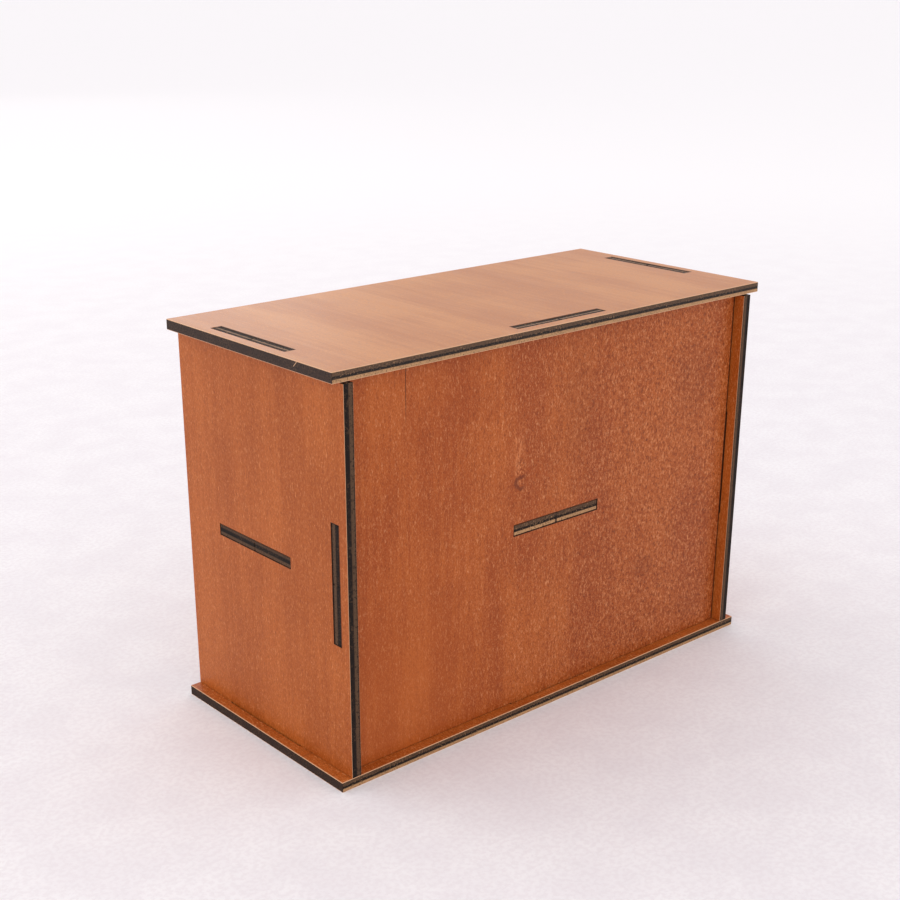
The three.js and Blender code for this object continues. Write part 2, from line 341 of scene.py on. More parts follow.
floor.data.materials.append(floor_finish())
print("floor finished")

# %% [markdown]
# ## From a CAD sheet to a finished board
# The CAD mesh of a board is loose triangles with knife-sharp edges. A copy is merged into one skin, and
# its flat triangles are dissolved into whole faces. The boards could be modelled again from nothing, but
# that would only risk moving a slot.

# %% Boards: a merged copy
def merged_copy(node):
    """The node's mesh as one clean skin, in a bmesh."""
    skin = bmesh.new()
    skin.from_mesh(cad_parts[node].data)
    bmesh.ops.remove_doubles(skin, verts=skin.verts, dist=0.002 * MM)
    bmesh.ops.dissolve_limit(
        skin, angle_limit=math.radians(1), verts=skin.verts, edges=skin.edges, delimit=set()
    )
    return skin


trial = merged_copy("back_panel")
print("a merged back panel has", len(trial.faces), "faces")
trial.free()

# %% [markdown]
# ## Nicks at the tabs' ends
# While the laser cuts, small bridges hold a board in its sheet, and breaking them leaves a nick in the
# middle of a tab's end. It could be a dark line in the material, but a real dent catches the light. Four
# cuts across the end set its width, and lowering the strip between the inner two slopes its sides.

# %% Nicks
NICK_HALF = 0.34 * MM
NICK_FLOOR = 0.14 * MM
NICK_DEPTH = 0.22 * MM
TAB_AREA = 110.0 * MM * MM


def cut_face(skin, faces, place, normal):
    """Cuts only these faces along a plane, and returns them with the new ones."""
    edges = {edge for face in faces for edge in face.edges}
    verts = {vert for face in faces for vert in face.verts}
    done = bmesh.ops.bisect_plane(
        skin, geom=[*faces, *edges, *verts], dist=0.001 * MM, plane_co=place, plane_no=normal
    )
    return [part for part in done["geom"] if isinstance(part, bmesh.types.BMFace)]


def nick_tab_ends(skin, through, tab_ends):
    """Each tab's end keeps a small nick at its middle, where the board was held in its sheet."""
    for outward, level in tab_ends:
        along = 3 - through - outward
        ends = [
            face
            for face in skin.faces
            if abs(face.normal[outward]) > 0.99
            and abs(face.calc_center_median()[outward] - level) < 0.02 * MM
            and face.calc_area() < TAB_AREA
        ]
        for end in ends:
            centre = end.calc_center_median()
            inward = -math.copysign(NICK_DEPTH, end.normal[outward])
            direction = Vector([1.0 if i == along else 0.0 for i in range(3)])
            pieces = [end]
            for offset in (-NICK_HALF, -NICK_FLOOR, NICK_FLOOR, NICK_HALF):
                pieces = cut_face(skin, pieces, centre + direction * offset, direction)
            for vert in {v for face in pieces for v in face.verts}:
                if abs(vert.co[along] - centre[along]) < NICK_FLOOR * 1.05:
                    vert.co[outward] += inward


print("nicks:", NICK_HALF * 2 / MM, "mm wide,", NICK_DEPTH / MM, "mm deep")

# %% [markdown]
# ## Rounded arrises
# Sanding and the laser leave no real board knife-sharp, and a sharp edge in a render catches no light at
# all. A bevel of a tenth of a millimetre on every sharp edge is enough. A Bevel modifier could do it too,
# but made in the mesh its faces can be told apart afterwards and given their own colour, such as the
# painted highlight along each board's outline.

# %% Rounded arrises
EDGE_ROUND = 0.10 * MM
ROUND_SEGMENTS = 2
SHARP = math.radians(35)


def round_edges(skin, width):
    sharp = [edge for edge in skin.edges if edge.is_manifold and edge.calc_face_angle() > SHARP]
    bmesh.ops.bevel(
        skin,
        geom=sharp,
        offset=width,
        offset_type="OFFSET",
        affect="EDGES",
        segments=ROUND_SEGMENTS,
        profile=0.5,
        material=-1,
        clamp_overlap=True,
    )


print("edges rounded by", EDGE_ROUND / MM, "mm")

# %% [markdown]
# ## What each face is
# The material has to know the veneer from the charred edge, though both are parts of one skin. Separate
# material slots would do, but then one finish could not fade into the next. So each face carries five
# marks: veneer, laser-cut edge, the arris round the board's outline, any other arris, and whether a cut
# runs across the fibres, where the plies show as stripes. A wide slanting face, as on the flap's rounded
# top, counts as cut.

# %% Marks on the faces, and the finished piece
NICK_AREA = 2.0 * MM * MM
RIM_REACH = 0.4 * MM
ARRIS_WIDTH = 0.16 * MM


def rim_levels(mesh, axes):
    """Where a board's outline lies: its lowest and highest places along each axis."""
    rims = []
    for axis in axes:
        places = [vert.co[axis] for vert in mesh.vertices]
        rims += [(axis, min(places)), (axis, max(places))]
    return rims


def strip_width(mesh, face):
    """How wide a long face is: its area over its longest side."""
    corners = [mesh.vertices[index].co for index in face.vertices]
    longest = max((near - far).length for near, far in zip(corners, corners[1:] + corners[:1]))
    return face.area / longest


def mark_faces(mesh, through, grain, tab_axes):
    """Keeps on each face whether it is veneer, a cut edge, an arris, or a cut across the fibres."""
    rims = rim_levels(mesh, [axis for axis in (X, Y, Z) if axis != through and axis not in tab_axes])
    marks = {"veneer": [], "cut_edge": [], "outer_arris": [], "inner_arris": [], "end_grain": []}
    for face in mesh.polygons:
        flat = abs(face.normal[through])
        at_rim = any(abs(face.center[axis] - level) < RIM_REACH for axis, level in rims)
        is_arris = 0.2 <= flat < 0.97 and strip_width(mesh, face) < ARRIS_WIDTH
        marks["veneer"].append(float(flat >= 0.97))
        marks["cut_edge"].append(float(flat < 0.97 and not is_arris))
        marks["outer_arris"].append(float(is_arris and at_rim))
        marks["inner_arris"].append(float(is_arris and not at_rim))
        marks["end_grain"].append(float(abs(face.normal[grain]) > 0.5 and face.area > NICK_AREA))
    for name, values in marks.items():
        mesh.attributes.new(name, "FLOAT", "FACE").data.foreach_set("value", values)


def finish_piece(name, skin, body, node, material):
    mesh = bpy.data.meshes.new(name)
    skin.to_mesh(mesh)
    skin.free()
    piece = bpy.data.objects.new(name, mesh)
    bpy.context.scene.collection.objects.link(piece)
    mesh.materials.append(material)
    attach(piece, body)
    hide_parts(node)
    return piece


print("board tools ready")

# %% [markdown]
# ## Stained plywood
# The face veneer is a pale wood under a teak-brown stain. The stain sinks unevenly: there are wide soft
# streaks along the grain, fine grain lines, and many short fibres that stayed pale or drank more colour.
# The laser chars the cut edges, darkest on the side it enters, and on a cut across the fibres the three
# plies show as stripes. A scanned veneer could give all this, but it would repeat and blur up close. Here
# every board reads its own stretch of endless noise, so no two boards look the same.

# %% Char and plies
CHAR_BLACK = srgb(25, 17, 13)
CHAR_DARK = srgb(54, 38, 30)
CHAR_BROWN = srgb(90, 67, 49)
FAR_PLY = srgb(186, 143, 101)
TAB_PALE = srgb(150, 122, 100)
# The pale of a scratch, and of the painted highlight along each board's outline.
HIGHLIGHT_AND_SCRATCH_PALE = srgb(226, 180, 140)
EVEN_CHAR = [(0.0, CHAR_BROWN), (0.10, CHAR_DARK), (0.90, CHAR_DARK), (1.0, CHAR_BLACK)]
BANDED_CHAR = [
    (0.0, CHAR_BLACK), (0.08, CHAR_BLACK), (0.15, CHAR_BROWN),
    (0.44, CHAR_BROWN), (0.53, CHAR_BLACK), (1.0, CHAR_BLACK),
]
END_PLIES = [
    (0.0, CHAR_DARK), (0.05, FAR_PLY), (0.31, FAR_PLY), (0.37, CHAR_BLACK),
    (0.56, CHAR_BLACK), (0.63, CHAR_BROWN), (0.93, CHAR_BROWN), (1.0, CHAR_DARK),
]
TAB_PLIES = [
    (0.0, CHAR_BLACK), (0.38, CHAR_BLACK), (0.46, TAB_PALE),
    (0.60, TAB_PALE), (0.68, CHAR_DARK), (1.0, CHAR_DARK),
]
SHELF_CHAR = [
    (0.0, CHAR_BROWN), (0.28, CHAR_BROWN), (0.36, CHAR_BLACK), (0.62, CHAR_BLACK),
    (0.70, CHAR_DARK), (0.82, CHAR_BROWN), (1.0, CHAR_BLACK),
]


def along_grain(grain, across, along):
    """Repeats per millimetre on X, Y and Z, with the given one along the grain."""
    return tuple(along if index == grain else across for index in range(3))


def charred_edge(finish, node, through, laser_side, char, plies, shift):
    """The laser-cut edge: stripes of ply across the fibres, and an even or banded char along them."""
    low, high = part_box(node)
    middle = (low[through] + high[through]) / 2
    depth = (finish.axis(through) - middle) / sheet_thickness * laser_side + 0.5
    soot = finish.noise((2.0, 2.0, 2.0), detail=3.0, roughness=0.7, shift=shift + 3.0)
    patches = finish.noise((0.25, 0.25, 0.25), detail=2.0, shift=shift + 7.0)
    wander = depth + (soot - 0.5) * 0.16
    edge = finish.mix(finish.mark("end_grain"), finish.ramp(wander, char), finish.ramp(wander, plies))
    burnt = finish.step(soot, 0.50, 0.62) * finish.step(patches, 0.35, 0.65)
    edge = finish.mix(burnt * 0.65, edge, CHAR_BROWN)
    freckles = finish.mark("end_grain") * finish.step(soot, 0.56, 0.66) * finish.step(patches, 0.62, 0.42)
    edge = finish.mix(freckles * 0.60, edge, FAR_PLY)
    return finish.mix(finish.step(soot, 0.48, 0.36) * 0.75, edge, CHAR_BLACK)


print("char recipe ready:", len(END_PLIES), "stops across the plies")

# %% [markdown]
# ## The veneer, and a whole board's finish
# The stain comes first, drifting between two tones. Then the fibres are laid over it: those that drank
# more colour, and those that stayed pale. One ramp over one noise would be shorter, but then streaks and
# fibres would follow the same pattern, and real ones don't. A whole board is its veneer, its edges, its
# arrises and any marks of its own, laid one over the other.

# %% Stained veneer, and the whole board's finish
def stained_face(finish, grain, stain, fleck, shift):
    """The veneer under its stain, and the noise of its fibres."""
    light, dark, pale_fibre, dark_fibre = stain
    streaks = finish.noise(along_grain(grain, 0.06, 0.008), detail=3.0, shift=shift)
    lines = finish.noise(along_grain(grain, 0.7, 0.03), detail=4.0, roughness=0.6, shift=shift)
    mottle = finish.noise((0.035, 0.035, 0.035), detail=3.0, shift=shift)
    fibres = finish.noise(along_grain(grain, 2.3, 0.75), detail=3.0, roughness=0.65, shift=shift, twist=0.6)
    fine_scale = along_grain(grain, 4.2, 1.7)
    fine = finish.noise(fine_scale, detail=2.0, roughness=0.6, shift=shift + 1.0, twist=0.4)
    tone = finish.step(streaks * 0.45 + lines * 0.25 + mottle * 0.30, 0.40, 0.60)
    face = finish.mix(tone, light, dark)
    face = finish.mix(finish.step(fine, 0.50, 0.30) * fleck * 0.55, face, dark_fibre)
    face = finish.mix(finish.step(fine, 0.52, 0.72) * fleck * 0.45, face, pale_fibre)
    face = finish.mix(finish.step(fibres, 0.46, 0.32) * fleck * 0.55, face, dark_fibre)
    face = finish.mix(finish.step(fibres, 0.56, 0.70) * fleck * 0.65, face, pale_fibre)
    return face, fibres * 0.6 + lines * 0.2 + fine * 0.2


def plywood(name, node, through, grain, laser_side, stain, char, plies, fleck, shift, marks, sheen):
    """A finish for one board. Laser side is +1 or -1: the face that the laser entered."""
    roughness, specular = sheen
    finish = Finish(name, specular=specular)
    if callable(fleck):
        fleck = fleck(finish)
    face, relief = stained_face(finish, grain, stain, fleck, shift)
    edge = charred_edge(finish, node, through, laser_side, char, plies, shift)
    wood = finish.mix(finish.mark("cut_edge"), face, edge)
    # The arris round each board's outline gets a painted highlight.
    wood = finish.mix(finish.mark("outer_arris") * 0.85, wood, HIGHLIGHT_AND_SCRATCH_PALE)
    wood = finish.mix(finish.mark("inner_arris") * 0.80, wood, CHAR_DARK)
    if marks:
        wood = marks(finish, wood)
    finish.feed("Base Color", wood)
    finish.feed("Roughness", finish.mark("cut_edge") * 0.35 + (relief - 0.5) * 0.35 + roughness)
    finish.feed("Normal", finish.bump(relief, 0.05 * MM, strength=0.45))
    return finish.material


STAIN_WARM = (srgb(184, 96, 34), srgb(165, 80, 20), srgb(224, 152, 98), srgb(122, 56, 18))
# The top has the same stain as the other boards. Its paler tones here are painted light and sheen.
TOP_STAIN_WITH_PAINTED_SHEEN = (srgb(200, 128, 62), srgb(184, 110, 46), srgb(226, 162, 104), srgb(146, 82, 32))
STAIN_RED = (srgb(184, 95, 38), srgb(160, 73, 24), srgb(226, 158, 108), srgb(102, 42, 16))
STAIN_INSIDE = (srgb(184, 100, 42), srgb(166, 82, 28), srgb(214, 140, 88), srgb(128, 62, 22))
SATIN = (0.42, 0.2)
GLOSSIER = (0.36, 0.33)
print("plywood recipe ready")

# %% [markdown]
# ## Marks of the veneer
# A back veneer this wide is never clean. This one has a small knot with a pale streak above it, a hair
# crack near the top of its right end, and darker patches where the stain pooled. It is duller towards its
# left end and warmer low down at the right. Its fibres get coarser and stand up towards the left, and a
# painted shade darkens its two upright corners, where it meets the ends. The marks could be painted by
# hand, but here they are ovals and thin lines with their rims broken up by noise. Each is placed by shares
# of its board's own length and height, so it stays on the board if the board's size changes.

# %% Places on the back panel
KNOT = srgb(112, 48, 20)
KNOT_PALE = srgb(222, 138, 84)
CRACK = srgb(58, 28, 14)
GRAIN_PALE = srgb(226, 154, 102)
FACE_DEPTH = 0.2


def place_on(node, axis, share):
    """A place in millimetres along an axis, at a share of the way from a node's low side to its high."""
    low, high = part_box(node)
    return (low[axis] + (high[axis] - low[axis]) * share) / MM


def on_back(along, up):
    """A place on the back panel by its shares along and up the board, as X, Y and Z in millimetres."""
    return (place_on("back_panel", X, along), 0.0, place_on("back_panel", Z, up))


print("the knot lies at", [round(v, 1) for v in on_back(0.591, 0.618)], "mm")

# %% [markdown]
# ## The back panel's own marks
# Each mark is a function that lays one colour over what is there already. The knot could be drawn as neat
# rings, but those look like a sign, so it is a small swirl of grain with a dark crescent at its foot.

# %% Patches, knot, drift of tone and hair crack
# A patch is its shares along and up the board, its two radii in mm, and its strength.
BACK_PATCHES = [
    (0.250, 0.271, 6.0, 5.0, 0.30),
    (0.096, 0.112, 9.0, 7.0, 0.25),
    (0.449, 0.801, 10.0, 26.0, 0.20),
    (0.128, 0.766, 13.0, 20.0, 0.24),
]


def pooled_stain(finish, face, ragged):
    for along, up, wide, tall, strength in BACK_PATCHES:
        inside = finish.step(finish.away(on_back(along, up), (wide, None, tall)) + ragged, 1.1, 0.2)
        face = finish.mix(inside * strength, face, KNOT)
    return face


def small_knot(finish, face, ragged):
    """Swirling grain, a pale streak above it and a dark crescent at its foot, on the outer face only."""
    middle = place_on("back_panel", Y, 0.5)
    outside = finish.step(finish.axis(Y) / MM, middle - FACE_DEPTH, middle + FACE_DEPTH)
    fibres = finish.noise((1.6, 1.6, 0.5), detail=3.0, roughness=0.6, shift=51.0)
    streak = finish.step(finish.away(on_back(0.600, 0.700), (2.3, None, 8.0)) + ragged * 1.4, 1.2, 0.2)
    face = finish.mix(streak * finish.step(fibres, 0.42, 0.62) * outside * 0.60, face, KNOT_PALE)
    swirl = finish.noise((0.50, 0.50, 0.42), detail=2.0, shift=53.0, twist=2.5)
    around = finish.away(on_back(0.595, 0.644), (2.8, None, 5.2)) + ragged * 0.6
    burl = finish.step(around, 1.0, 0.4) * outside
    face = finish.mix(finish.step(swirl, 0.54, 0.66) * burl * 0.75, face, KNOT_PALE)
    face = finish.mix(finish.step(swirl, 0.47, 0.36) * burl * 0.80, face, KNOT)
    eye = on_back(0.591, 0.618)
    rim = abs(finish.away(eye, (2.2, None, 1.6)) + ragged * 0.9 - 1.0)
    crescent = finish.step(rim, 0.55, 0.12) * finish.step(finish.axis(X) / MM, eye[X] - 2.0, eye[X] + 0.2)
    return finish.mix(crescent * outside * 0.80, face, KNOT)


def raised_grain(finish, face):
    """Where it was sanded less, short raised fibres stand pale over dark pores, towards the left end."""
    rough_end = finish.step(finish.share("back_panel", X), 0.70, 0.25) * finish.mark("veneer")
    grit = finish.noise((1.30, 1.30, 1.0), detail=3.0, roughness=0.75, shift=57.0)
    face = finish.mix(finish.step(grit, 0.48, 0.34) * rough_end * 0.65, face, STAIN_RED[3])
    return finish.mix(finish.step(grit, 0.54, 0.70) * rough_end * 0.55, face, GRAIN_PALE)


def painted_joint_shade(finish, face):
    """A thin dark line of painted shade, where the back meets each side's inner face."""
    inner_face = place_on("right_side_panel", X, 0.0)
    line = finish.step(abs(finish.axis(X) / MM) - inner_face, -0.70, -0.40) * finish.mark("veneer")
    return finish.mix(line * 0.90, face, CHAR_BLACK)


def drift_of_tone(finish, face):
    """The stain is duller towards the left end, and warmer low down at the right."""
    along = finish.share("back_panel", X)
    up = finish.share("back_panel", Z)
    dull = finish.step(along, 0.660, 0.212) * 0.30
    face = finish.mix(dull * finish.mark("veneer"), face, STAIN_RED[1])
    warm = finish.step(along, 0.596, 0.885) * finish.step(up, 0.652, 0.130) * 0.40
    return finish.mix(warm * finish.mark("veneer"), face, STAIN_RED[0])


def back_marks(finish, face):
    ragged = (finish.noise((0.8, 0.8, 0.5), detail=3.0, roughness=0.6) - 0.5) * 1.3
    face = pooled_stain(finish, face, ragged)
    face = small_knot(finish, face, ragged)
    face = drift_of_tone(finish, face)
    face = raised_grain(finish, face)
    # A painted shade darkens the back where it meets each end.
    face = painted_joint_shade(finish, face)
    beside_crack = abs(finish.axis(X) / MM - on_back(0.858, 0)[X] + ragged * 0.12)
    crack = finish.step(beside_crack, 0.17, 0.06) * finish.step(finish.share("back_panel", Z), 0.809, 0.905)
    return finish.mix(crack * 0.85, face, CRACK)


def coarser_side(finish):
    """The strength of the back's fibres, from its right end to its left."""
    return finish.step(finish.share("back_panel", X), 0.885, 0.180) * 0.65 + 0.65


print("back marks ready:", len(BACK_PATCHES), "patches, a knot and a crack")

# %% [markdown]
# ## Marks on the two overhanging boards
# The right ends of the top and bottom boards are charred and each has one small mark: a pale slanting
# scratch on the top, and a short dark seam on the bottom, where two strips of veneer meet. They could be
# left out at this size, but an edge with nothing on it looks made by a machine that nobody ever touched.

# %% Scratch and seam
def top_marks(finish, face):
    """A small pale scratch on the charred end."""
    start = place_on("top_panel", Y, 0.803)
    height = place_on("top_panel", Z, 0.717)
    end = place_on("top_panel", X, 1.0)
    slant = abs(finish.axis(Y) - finish.axis(Z) - (start - height) * MM) / MM
    short = finish.step(abs(finish.axis(Z) / MM - height), 0.85, 0.65)
    at_end = finish.step(finish.axis(X) / MM, end - 0.4, end - 0.2)
    return finish.mix(finish.step(slant, 0.20, 0.08) * short * at_end * 0.75, face, HIGHLIGHT_AND_SCRATCH_PALE)


def bottom_marks(finish, face):
    """A dark seam in the veneer by the right end."""
    beside = abs(finish.axis(Y) / MM - place_on("bottom_panel", Y, 0.757))
    end = place_on("bottom_panel", X, 1.0)
    seam = finish.step(beside, 0.16, 0.05) * finish.step(finish.axis(X) / MM, end - 4.5, end - 4.0)
    return finish.mix(seam * 0.6, face, CRACK)


print("end marks ready")

# %% [markdown]
# ## The case
# Top and bottom overhang the ends, the back is set in, and the shelf's tabs come through the ends and the
# back. The drop frame and the flap's two small plates sit at the front. Each board keeps the CAD board's
# outline, tabs and slots. It is described by the axis that its thickness runs along, the axis of its face
# grain, and the side that the laser entered, so one function makes them all.

# %% Make the boards
def tab_levels(node, outwards):
    """Where the tabs of a board end: its extreme places along the given directions."""
    low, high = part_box(node)
    return [(axis, corner[axis]) for axis in outwards for corner in (low, high)]


def make_board(
    node, body, slot, through, grain, laser_side, stain, shift,
    tabs=(), fleck=1.0, char=EVEN_CHAR, plies=END_PLIES, marks=None, sheen=SATIN, edge_round=EDGE_ROUND,
):
    skin = merged_copy(node)
    nick_tab_ends(skin, through, tab_levels(node, tabs))
    round_edges(skin, edge_round)
    name = node + "_ply"
    material = plywood(
        name, node, through, grain, laser_side, stain, char, plies, fleck, shift, marks, sheen
    )
    piece = finish_piece(node + "_board", skin, body, node, material)
    mark_faces(piece.data, through, grain, tabs)
    return piece


OUTSIDE = "stained_plywood"
INSIDE = "inner_plywood"
OVERHANG_ROUND = 0.16 * MM
SIDE_LOOKS = {"tabs": (Z,), "char": BANDED_CHAR, "plies": TAB_PLIES}
BACK_LOOKS = {**SIDE_LOOKS, "tabs": (X, Z), "fleck": coarser_side, "marks": back_marks}
TOP_LOOKS = {"fleck": 0.6, "marks": top_marks, "sheen": GLOSSIER, "edge_round": OVERHANG_ROUND}
BOTTOM_LOOKS = {"marks": bottom_marks, "edge_round": OVERHANG_ROUND}
case_boards = [
    make_board("bottom_panel", "case", OUTSIDE, Z, Y, 1, STAIN_WARM, 11.0, **BOTTOM_LOOKS),
    make_board("top_panel", "case", OUTSIDE, Z, Y, 1, TOP_STAIN_WITH_PAINTED_SHEEN, 2.0, **TOP_LOOKS),
    make_board("left_side_panel", "case", OUTSIDE, X, Z, -1, STAIN_WARM, 5.0, fleck=0.8, **SIDE_LOOKS),
    make_board("right_side_panel", "case", OUTSIDE, X, Z, 1, STAIN_WARM, 7.5, fleck=0.75, **SIDE_LOOKS),
    make_board("back_panel", "case", OUTSIDE, Y, Z, 1, STAIN_RED, 1.0, **BACK_LOOKS),
    make_board("middle_shelf", "case", INSIDE, Z, Y, 1, STAIN_INSIDE, 4.0, tabs=(X, Y), char=SHELF_CHAR),
    make_board("drop_frame", "case", OUTSIDE, Y, X, -1, STAIN_WARM, 6.0, fleck=0.65),
    make_board("left_pivot_plate", "case", INSIDE, X, Z, -1, STAIN_INSIDE, 8.0),
    make_board("right_pivot_plate", "case", INSIDE, X, Z, 1, STAIN_INSIDE, 9.0),
]
print("case boards:", [(b.name, len(b.data.polygons)) for b in case_boards])

# %% [markdown]
# ## The flap and the drawer's boards
# The same plywood, on the two bodies that move. The drawer's inner boards are hidden while it is shut, so
# they could be left plain, but they show as soon as it is pulled out. They get the browner inside stain.

# %% Moving boards
DRAWER = "drawer_plywood"
moving_boards = [
    make_board("flap_panel", "flap", OUTSIDE, Y, X, -1, STAIN_WARM, 12.0, fleck=0.65),
    make_board("drawer_front", "drawer", OUTSIDE, Y, X, -1, STAIN_WARM, 13.0, fleck=0.65),
    make_board("drawer_back", "drawer", DRAWER, Y, X, 1, STAIN_INSIDE, 14.0),
    make_board("drawer_left_side", "drawer", DRAWER, X, Y, -1, STAIN_INSIDE, 15.0, tabs=(Y,)),
    make_board("drawer_right_side", "drawer", DRAWER, X, Y, 1, STAIN_INSIDE, 16.0, tabs=(Y,)),
    make_board("drawer_bottom", "drawer", DRAWER, Z, X, 1, STAIN_INSIDE, 17.0, tabs=(X, Y)),
]
print("moving boards:", [(b.name, len(b.data.polygons)) for b in moving_boards])

# %% [markdown]
# ## Turned pieces
# The knob, the screw and the pins are all round about an axis, so each is one outline spun once about it.
# A cylinder or a sphere would need cutting to shape afterwards. The outlines are finer than the CAD ones
# but keep to the same radii and lengths, so every fit stays as it was drawn.

# %% The spinning tool
SPIN_STEPS = 64


def spun(profile, axis, foot, direction):
    """Spins (radius, height) points about a line through the foot, with heights along the direction."""
    skin = bmesh.new()
    side = Vector((0.0, 0.0, 1.0))
    upward = Vector([direction if index == axis else 0.0 for index in range(3)])
    verts = [skin.verts.new(foot + side * radius + upward * height) for radius, height in profile]
    edges = [skin.edges.new(pair) for pair in zip(verts, verts[1:])]
    bmesh.ops.spin(
        skin, geom=verts + edges, cent=foot, axis=upward,
        angle=2 * math.pi, steps=SPIN_STEPS, use_merge=True,
    )
    bmesh.ops.remove_doubles(skin, verts=skin.verts, dist=0.001 * MM)
    bmesh.ops.dissolve_degenerate(skin, edges=skin.edges, dist=0.0005 * MM)
    bmesh.ops.recalc_face_normals(skin, faces=skin.faces)
    for face in skin.faces:
        face.smooth = True
    return skin


def oval(radius, half_height, centre, start, end, steps):
    """Points of an oval arc about the axis. Angles are in degrees, and 90 is the pole on the axis."""
    points = []
    for step in range(steps + 1):
        angle = math.radians(start + (end - start) * step / steps)
        points.append((max(radius * math.cos(angle), 0.0), centre + half_height * math.sin(angle)))
    return points


def in_mm(points):
    return [(radius * MM, height * MM) for radius, height in points]


print("spinning tool ready:", SPIN_STEPS, "steps")

# %% [markdown]
# ## The knob
# A small turned knob: a flat foot, a hollow neck, and a flattened round crown. It is stained like the
# boards, but it is cut from solid wood, so the growth rings run through it as nearly straight bands, and
# the tool left fine rings around it. The hole for the screw could be cut afterwards, but as part of the
# outline it comes out round and clean.

# %% Knob
KNOB_FOOT = 4.0
KNOB_NECK = 3.2
KNOB_NECK_HEIGHT = 2.6
KNOB_CROWN_HALF = 4.2
KNOB_CROWN_START = -50.0
KNOB_HOLE = 1.05
KNOB_HOLE_DEPTH = 7.3
KNOB_HOLE_CHAMFER = 0.15
KNOB_FOOT_ROUND = 0.18
KNOB_FOOT_CUT = 0.05
KNOB_FOOT_EDGE = 0.45
NECK_STEPS = 8
CROWN_STEPS = 40
# The tree's heart lies beside the knob. The waves of rings and tool lines are in radians per millimetre.
TREE_HEART = (34.0, 0.0, 2.0)
RING_WAVE = 2.7
TOOL_WAVE = 26.0
knob_low, knob_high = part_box("drawer_knob")
knob_reach = (knob_high.y - knob_low.y) / MM
knob_radius = (knob_high.x - knob_low.x) / 2 / MM
knob_foot = Vector(((knob_low.x + knob_high.x) / 2, knob_high.y, (knob_low.z + knob_high.z) / 2))


def knob_neck():
    """The hollow from the foot's edge up to the crown, steep at first and then upright."""
    points = []
    for step in range(NECK_STEPS + 1):
        risen = step / NECK_STEPS
        radius = KNOB_NECK + (KNOB_FOOT - KNOB_NECK) * (1 - risen) ** 2
        points.append((radius, KNOB_FOOT_EDGE + (KNOB_NECK_HEIGHT - KNOB_FOOT_EDGE) * risen))
    return points


def knob_profile():
    crown_centre = knob_reach - KNOB_CROWN_HALF
    crown = oval(knob_radius, KNOB_CROWN_HALF, crown_centre, KNOB_CROWN_START, 90.0, CROWN_STEPS)
    return in_mm([
        (0.0, KNOB_HOLE_DEPTH),
        (KNOB_HOLE, KNOB_HOLE_DEPTH),
        (KNOB_HOLE, KNOB_HOLE_CHAMFER),
        (KNOB_HOLE + KNOB_HOLE_CHAMFER, 0.0),
        (KNOB_FOOT - KNOB_FOOT_ROUND, 0.0),
        (KNOB_FOOT - KNOB_FOOT_CUT, KNOB_FOOT_CUT),
        (KNOB_FOOT, KNOB_FOOT_ROUND),
        *knob_neck(),
        *crown,
    ])


def wave(turns):
    """A wave between 0 and 1 over a field of radians."""
    return turns.sum("SINE", turns) * 0.5 + 0.5


def knob_finish():
    finish = Finish("knob_turned_wood", specular=0.22)
    wobble = finish.noise((0.10, 0.04, 0.10), detail=3.0, roughness=0.6, shift=21.0)
    growth = finish.noise((0.20, 0.03, 0.20), detail=2.0, shift=23.0)
    rings = finish.away(TREE_HEART, (1.0, None, 1.0)) + wobble * 7.0
    band = wave(rings * RING_WAVE)
    fibres = finish.noise((2.6, 0.5, 2.6), detail=3.0, roughness=0.65, shift=22.0)
    late_wood = finish.step(band, 0.30, 1.0) * finish.step(growth, 0.30, 0.65)
    wood = finish.mix(late_wood * 0.60, srgb(182, 98, 34), srgb(140, 66, 20))
    wood = finish.mix(finish.step(fibres, 0.56, 0.72) * 0.40, wood, srgb(218, 146, 92))
    wood = finish.mix(finish.step(fibres, 0.44, 0.30) * 0.50, wood, srgb(106, 48, 16))
    tool = wave(finish.axis(Y) / MM * TOOL_WAVE)
    finish.feed("Base Color", wood)
    finish.feed("Roughness", (fibres - 0.5) * 0.3 + 0.36)
    finish.feed("Normal", finish.bump(tool * 0.25 + fibres * 0.75, 0.04 * MM, strength=0.5))
    return finish.material


knob_skin = spun(knob_profile(), Y, knob_foot, -1)
knob = finish_piece("drawer_knob_turned", knob_skin, "drawer", "drawer_knob", knob_finish())
print("knob:", round(knob_radius * 2, 2), "mm across and", round(knob_reach, 2), "mm long")

# %% [markdown]
# ## The knob's screw
# A short zinc-plated wood screw holds the knob from inside the drawer. Its head is a low dome. Only the
# head is ever seen, so a plain shank would do, but the thread is kept so that the screw is whole when
# taken out.

# %% Screw: sizes and core
THREAD_PITCH = 0.8
THREAD_ROOT = 0.70
THREAD_CORE = 0.76
THREAD_HALF = 0.16
THREAD_STEPS = 24
RECESS_OUT = (1.22, 1.12)
RECESS_HALF = (0.34, 0.26)
RECESS_DEPTH = 0.75
CUT_SLACK = 0.01
HEAD_HEIGHT = 1.3
HEAD_RIM = 0.10
DOME_EDGE = 4.0
DOME_STEPS = 14
NECK_FLARE = 0.25
NECK_LENGTH = 0.3
THREAD_RADIUS = 1.0
THREAD_GAP = 0.7
SCREW_TIP = 1.4
screw_low, screw_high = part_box("drawer_knob_screw")
screw_length = (screw_high.y - screw_low.y) / MM
head_radius = (screw_high.x - screw_low.x) / 2 / MM
screw_pole = Vector((knob_foot.x, screw_high.y, knob_foot.z))


